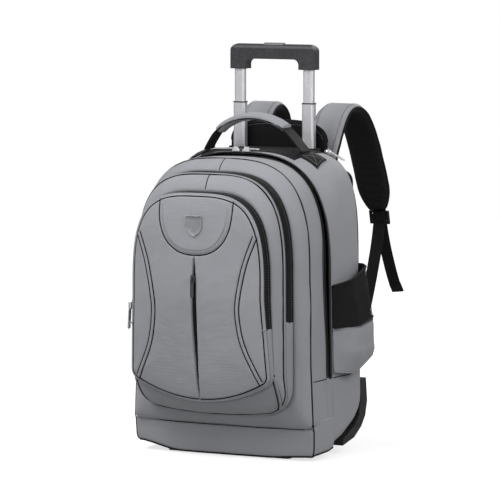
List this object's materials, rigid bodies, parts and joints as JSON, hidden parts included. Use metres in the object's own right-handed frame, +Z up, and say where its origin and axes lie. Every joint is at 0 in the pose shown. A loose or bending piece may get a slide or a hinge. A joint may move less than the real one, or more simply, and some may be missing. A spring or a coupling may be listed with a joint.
{
  "type": "wheeled trolley backpack",
  "caption": "Soft wheeled backpack for a laptop, with zipped arched compartments, a two-stage trolley handle, a carry handle, padded shoulder straps and side net pockets.",
  "frame": {"origin": "centre of the whole object's footprint box, on the floor that the wheels and the front skid stand on", "axes": "+X across the case to the right as seen from its front, +Y from its front towards the wearer's back, +Z up along the trolley tubes"},
  "size_m": [0.388, 0.5353, 0.671],
  "materials": {
    "grey_fabric": "matt coated twill",
    "black_fabric": "matt",
    "black_foam": "spacer mesh over foam",
    "lining": "plain lining",
    "mesh": "open net",
    "webbing": "woven",
    "zip_tape": "coil zip",
    "board": "matt sheet",
    "black_plastic": "fine texture",
    "bush_plastic": "smooth",
    "grip_plastic": "soft matt",
    "button_plastic": "satin",
    "hub_plastic": "satin",
    "wheel_rubber": "matt",
    "tube_metal": "satin anodised",
    "steel": "bright",
    "zip_metal": "polished",
    "badge_metal": "satin"
  },
  "bodies": {
    "case": {"base_shell": "grey_fabric", "rear_shell": "grey_fabric", "back_gusset": "black_fabric", "back_board": "board", "back_padding": "black_foam", "top_flap": "black_fabric", "main_zip_rear": "zip_tape", "back_zip": "zip_tape", "laptop_sleeve": "lining", "base_board": "board", "wheel_tub": "black_plastic", "front_skid": "black_plastic", "wheel_housings": "black_plastic", "wheel_axles": "steel", "wheel_bushes": "bush_plastic", "outer_tubes": "tube_metal", "tube_bezel": "black_plastic", "tube_brace": "steel", "side_meshes": "mesh", "side_panels": "grey_fabric", "sewn_anchors": "webbing"},
    "lower_stage": {"middle_tubes": "tube_metal", "tube_collars": "black_plastic"},
    "upper_stage": {"inner_tubes": "tube_metal", "lock_blocks": "bush_plastic", "grip_front": "grip_plastic", "grip_rear": "grip_plastic", "button_spring": "steel"},
    "button": {"release_button": "button_plastic", "release_rods": "steel"},
    "wheel_left": {"hub_left": "hub_plastic", "tyre_left": "wheel_rubber"},
    "wheel_right": {"hub_right": "hub_plastic", "tyre_right": "wheel_rubber"},
    "front_section": {"front_shell": "grey_fabric", "main_zip_front": "zip_tape"},
    "middle_section": {"middle_pocket": "grey_fabric", "middle_zip": "zip_tape"},
    "front_pouch": {"front_pocket": "grey_fabric", "pocket_zips": "zip_tape", "badge": "badge_metal"},
    "carry_handle": {"handle_loop": "webbing", "handle_grip": "grey_fabric"},
    "strap_left": {"shoulder_pad_left": "grey_fabric", "buckle_left": "black_plastic", "strap_web_left": "webbing"},
    "strap_right": {"shoulder_pad_right": "grey_fabric", "buckle_right": "black_plastic", "strap_web_right": "webbing"},
    "slider_main_left": {"main_slider_left": "zip_metal"},
    "slider_main_right": {"main_slider_right": "zip_metal"},
    "pull_main_left": {"main_pull_left": "zip_metal"},
    "pull_main_right": {"main_pull_right": "zip_metal"},
    "slider_front": {"front_slider": "zip_metal"},
    "pull_front": {"front_pull": "zip_metal"},
    "slider_middle": {"middle_slider": "zip_metal"},
    "slider_centre": {"centre_slider": "zip_metal"},
    "pull_centre": {"centre_pull": "zip_metal"},
    "slider_back": {"back_slider": "zip_metal"},
    "pull_back": {"back_pull": "zip_metal"}
  },
  "joints": [
    {"name": "lower_stage_slide", "type": "slide", "parent": "case", "child": "lower_stage", "axis": [0, 0, 1], "range_m": [-0.073, 0.2]},
    {"name": "upper_stage_slide", "type": "slide", "parent": "lower_stage", "child": "upper_stage", "axis": [0, 0, 1], "range_m": [-0.0545, 0.21]},
    {"name": "button_press", "type": "slide", "parent": "upper_stage", "child": "button", "axis": [0, 0, 1], "range_m": [-0.004, 0], "stiffness_N_per_m": 600, "springref_m": 0.004, "deforming": ["button_spring"]},
    {"name": "wheel_left_spin", "type": "hinge", "parent": "case", "child": "wheel_left", "pos_m": [-0.096, -0.0008, 0.034], "axis": [1, 0, 0], "continuous": true},
    {"name": "wheel_right_spin", "type": "hinge", "parent": "case", "child": "wheel_right", "pos_m": [0.096, -0.0008, 0.034], "axis": [1, 0, 0], "continuous": true},
    {"name": "main_compartment_opens", "type": "hinge", "parent": "case", "child": "front_section", "pos_m": [0, -0.1498, 0.066], "axis": [1, 0, 0], "range_deg": [0, 35]},
    {"name": "middle_pocket_opens", "type": "hinge", "parent": "front_section", "child": "middle_section", "pos_m": [0, -0.1811, 0.0715], "axis": [1, 0, 0], "range_deg": [0, 10]},
    {"name": "front_pocket_opens", "type": "hinge", "parent": "middle_section", "child": "front_pouch", "pos_m": [0, -0.2321, 0.0975], "axis": [1, 0, 0], "range_deg": [0, 10]},
    {"name": "carry_handle_swings", "type": "hinge", "parent": "case", "child": "carry_handle", "pos_m": [0, -0.0468, 0.486], "axis": [1, 0, 0], "range_deg": [-15, 22]},
    {"name": "strap_left_swings", "type": "hinge", "parent": "case", "child": "strap_left", "pos_m": [-0.07, 0.0522, 0.47], "axis": [1, 0, 0], "range_deg": [-2, 8]},
    {"name": "strap_right_swings", "type": "hinge", "parent": "case", "child": "strap_right", "pos_m": [0.07, 0.0522, 0.47], "axis": [1, 0, 0], "range_deg": [-2, 8]},
    {"name": "main_slider_left_runs", "type": "hinge", "parent": "case", "child": "slider_main_left", "pos_m": [0, -0.0958, 0.173], "axis": [0, -1, 0], "range_deg": [0, 12]},
    {"name": "main_pull_left_lifts", "type": "hinge", "parent": "slider_main_left", "child": "pull_main_left", "pos_m": [-0.00975, -0.0958, 0.50166], "axis": [0, 1, 0], "range_deg": [0, 80]},
    {"name": "main_slider_right_runs", "type": "hinge", "parent": "case", "child": "slider_main_right", "pos_m": [0, -0.0958, 0.173], "axis": [0, 1, 0], "range_deg": [0, 12]},
    {"name": "main_pull_right_lifts", "type": "hinge", "parent": "slider_main_right", "child": "pull_main_right", "pos_m": [0.00975, -0.0958, 0.50166], "axis": [0, -1, 0], "range_deg": [0, 80]},
    {"name": "front_zip_slider_runs", "type": "slide", "parent": "front_pouch", "child": "slider_front", "axis": [0.0592, 0, 0.9982], "range_m": [-0.02, 0.015]},
    {"name": "front_zip_pull_lifts", "type": "hinge", "parent": "slider_front", "child": "pull_front", "pos_m": [-0.12958, -0.2388, 0.25026], "axis": [0, 1, 0], "range_deg": [0, 120]},
    {"name": "middle_zip_slider_runs", "type": "slide", "parent": "middle_section", "child": "slider_middle", "axis": [0.0063, 0, 1], "range_m": [-0.025, 0.015]},
    {"name": "centre_zip_slider_runs", "type": "slide", "parent": "front_pouch", "child": "slider_centre", "axis": [0, 0, 1], "range_m": [-0.18, 0.02]},
    {"name": "centre_zip_pull_lifts", "type": "hinge", "parent": "slider_centre", "child": "pull_centre", "pos_m": [0, -0.2651, 0.3], "axis": [-1, 0, 0], "range_deg": [0, 120]},
    {"name": "back_zip_slider_runs", "type": "hinge", "parent": "case", "child": "slider_back", "pos_m": [0.053, 0.0295, 0.4044], "axis": [0, 1, 0], "range_deg": [0, 24]},
    {"name": "back_zip_pull_lifts", "type": "hinge", "parent": "slider_back", "child": "pull_back", "pos_m": [0.09795, 0.0295, 0.49261], "axis": [0, -1, 0], "range_deg": [0, 80]}
  ]
}
